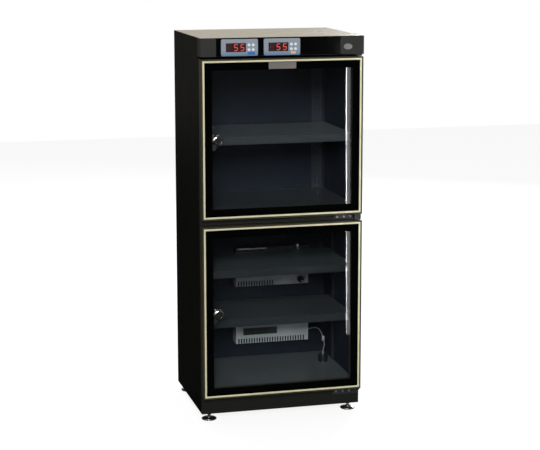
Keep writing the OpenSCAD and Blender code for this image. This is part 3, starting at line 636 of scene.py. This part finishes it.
door_finishes = {
    "frame": coat_material("door_bronze", (0.041, 0.036, 0.020), 0.36, grain=1000,
                           fold=0.0012, gloss=0.45),
    "trim": coat_material("gold_bead", (0.97, 0.92, 0.62), 0.3, grain=300,
                          grain_depth=0.000004, metal=0.35, fold=0.0008, gloss=0.6),
    "surround": coat_material("surround_black", (0.0012, 0.0014, 0.0014), 0.7, grain=600,
                              gloss=0.0),
    "glass": glass_material(),
    "gasket": coat_material("gasket_grey", (0.05, 0.05, 0.052), 0.6, grain=500, gloss=0.3)}
for part, finish in door_finishes.items():
    finish_nodes(finish, "upper_door_" + part, "lower_door_" + part)

# Locks
# Cam locks, bolted through the door with a nut: a polished, chromed ring with a finger tab
# below it, and a dark plug with a key slot.
lock_chrome = coat_material("lock_chrome", (0.78, 0.79, 0.8), 0.16, grain=600,
                            grain_depth=0.000008, metal=1.0, fold=0.0008)
plug_dark = coat_material("plug_dark", (0.03, 0.03, 0.033), 0.3, grain=700, metal=0.6,
                          fold=0.0006)
finish_nodes(lock_chrome, "upper_lock_body", "lower_lock_body")
finish_nodes(plug_dark, "upper_lock_plug", "lower_lock_plug")

# Levelling feet
# Plated steel pads with a threaded stem and a lock nut, screwed into the bottom pan. The
# rim of each pad and its stem catch the light.
foot_plated = coat_material("foot_plated", (0.42, 0.42, 0.41), 0.3, grain=400,
                            grain_depth=0.00001, fold=0.003, metal=1.0)
finish_nodes(foot_plated, "foot_front_left", "foot_front_right", "foot_back_left",
             "foot_back_right")

# Studio floor
# White paper under the cabinet. It glows to the camera and through the glass, keeps the
# cabinet's shadow, and is nearly black to light that has already bounced.
bpy.ops.mesh.primitive_plane_add(size=14, location=(0, 0, 0))
floor = bpy.context.object
floor.name = "studio_floor"
floor_white, tree, shader = new_material("floor_white")
floor_tone = add_range(tree, add_noise(tree, scale=1.5, detail=3), 0.88, 0.9)
tree.links.new(floor_tone, shader.inputs["Base Color"])
shader.inputs["Roughness"].default_value = 0.9
shader.inputs["Specular IOR Level"].default_value = 0.0
paper = tree.nodes.new("ShaderNodeEmission")
paper.inputs["Strength"].default_value = 1.1
faint = tree.nodes.new("ShaderNodeBsdfDiffuse")
faint.inputs["Color"].default_value = (0.012, 0.012, 0.011, 1)
ray = tree.nodes.new("ShaderNodeLightPath").outputs
seen = add_math(tree, "MAXIMUM", ray["Is Camera Ray"], ray["Is Transmission Ray"])
glowing = mix_shaders(tree, add_math(tree, "MULTIPLY", seen, 0.8), shader.outputs["BSDF"],
                      paper.outputs["Emission"])
scattered = add_math(tree, "MULTIPLY", ray["Diffuse Depth"], 0.5, clamp=True)
bounced = add_math(tree, "ADD", ray["Glossy Depth"], scattered, clamp=True)
surface = mix_shaders(tree, bounced, glowing, faint.outputs["BSDF"])
tree.links.new(surface, tree.nodes["Material Output"].inputs["Surface"])
floor.data.materials.append(floor_white)

# Lamps
# A tall key lamp far off at the front left and three weaker ones. Glowing sheets show only in
# reflections: a narrow strip, in a bright and a soft half, that stands in the glass of both
# doors, and a soft sheet for the lock rings.
strip_y, strip_z, strip_depth, strip_h = -0.805, 0.68, 0.001, 1.14


def add_lamp(name, place, target, size, power):
    """A soft rectangular lamp aimed at a point."""
    bpy.ops.object.light_add(type="AREA", location=place)
    lamp = bpy.context.object
    lamp.name = name
    lamp.data.shape = "RECTANGLE"
    lamp.data.size, lamp.data.size_y = size
    lamp.data.energy = power
    lamp.rotation_euler = (Vector(target) - Vector(place)).to_track_quat("-Z", "Y").to_euler()


def add_glow_sheet(name, size, place, turn, strength):
    """A glowing sheet that is seen only in reflections."""
    bpy.ops.mesh.primitive_cube_add(size=1, location=place, rotation=turn)
    sheet = bpy.context.object
    sheet.name = name
    sheet.scale = size
    material, _, shader = new_material(name)
    shader.inputs["Base Color"].default_value = (0, 0, 0, 1)
    shader.inputs["Emission Color"].default_value = (1, 1, 1, 1)
    shader.inputs["Emission Strength"].default_value = strength
    sheet.data.materials.append(material)
    sheet.visible_camera = False
    sheet.visible_diffuse = False
    sheet.visible_transmission = False
    sheet.visible_shadow = False


add_lamp("key_lamp", (-2.9, -12.0, 5.9), (0, 0, 0.7), (2.5, 4.0), 1350)
add_lamp("side_lamp", (-3.6, 1.2, 2.4), (0, 0, 0.7), (1.4, 1.4), 8)
add_lamp("back_lamp", (2.2, 3.4, 2.4), (0, 0, 0.7), (1.4, 1.4), 190)
add_lamp("top_lamp", (0, 0.6, 3.4), (0, 0, 0.5), (1.8, 1.8), 50)
for name, width, x, lean, strength in (("strip_bright", 0.0036, 0.4039, -0.0087, 38),
                                       ("strip_soft", 0.0138, 0.4114, -0.005, 2.9)):
    add_glow_sheet(name, (width, strip_depth, strip_h), (x, strip_y, strip_z),
                   (0, lean, 0), strength)
add_glow_sheet("chrome_softbox", (2.2, 0.01, 2.2), (-2.4, -2.0, 1.9),
               (-math.radians(28), 0, -math.radians(45)), 1.9)

# Background
# White to the camera and through the glass. Other light finds a dim grey room, and what the
# lid mirrors, to the right and behind the cabinet, is a cream backdrop.
room_tone = (0.95, 0.97, 1)
glossy_strength = 0.03


def add_background(tree, colour, strength=1.0):
    """One tone of what surrounds the cabinet."""
    background = tree.nodes.new("ShaderNodeBackground")
    background.inputs["Color"].default_value = (*colour, 1)
    feed(tree, strength, background.inputs["Strength"])
    return background.outputs["Background"]


world = bpy.data.worlds.new("studio_world")
bpy.context.scene.world = world
world.use_nodes = True
tree = world.node_tree
tree.nodes.clear()
ray = tree.nodes.new("ShaderNodeLightPath").outputs
direction = tree.nodes.new("ShaderNodeTexCoord").outputs["Generated"]
rearward = take_axis(tree, direction, "Y")
behind = add_range(tree, rearward, 0, 1, start=0.2, end=0.9)
aside = add_range(tree, take_axis(tree, direction, "X"), 0, 1, start=-0.2, end=0.15)
backdrop = add_math(tree, "MULTIPLY", behind, aside)
mirrored = add_math(tree, "MULTIPLY", ray["Is Glossy Ray"], backdrop)
bounced = add_math(tree, "ADD", ray["Glossy Depth"], ray["Diffuse Depth"], clamp=True)
through = add_math(tree, "SUBTRACT", ray["Is Transmission Ray"], bounced, clamp=True)
seen = add_math(tree, "MAXIMUM", ray["Is Camera Ray"], through)
room_strength = add_range(tree, rearward, 0.05, 0.35, start=-0.5, end=0.1)
ambient = mix_shaders(tree, ray["Is Glossy Ray"], add_background(tree, room_tone, room_strength),
                      add_background(tree, room_tone, glossy_strength))
around = mix_shaders(tree, mirrored, ambient, add_background(tree, (0.9, 0.83, 0.69)))
sky = mix_shaders(tree, seen, around, add_background(tree, (1, 1, 1)))
output = tree.nodes.new("ShaderNodeOutputWorld")
tree.links.new(sky, output.inputs["Surface"])
bpy.context.scene.view_settings.view_transform = "Standard"
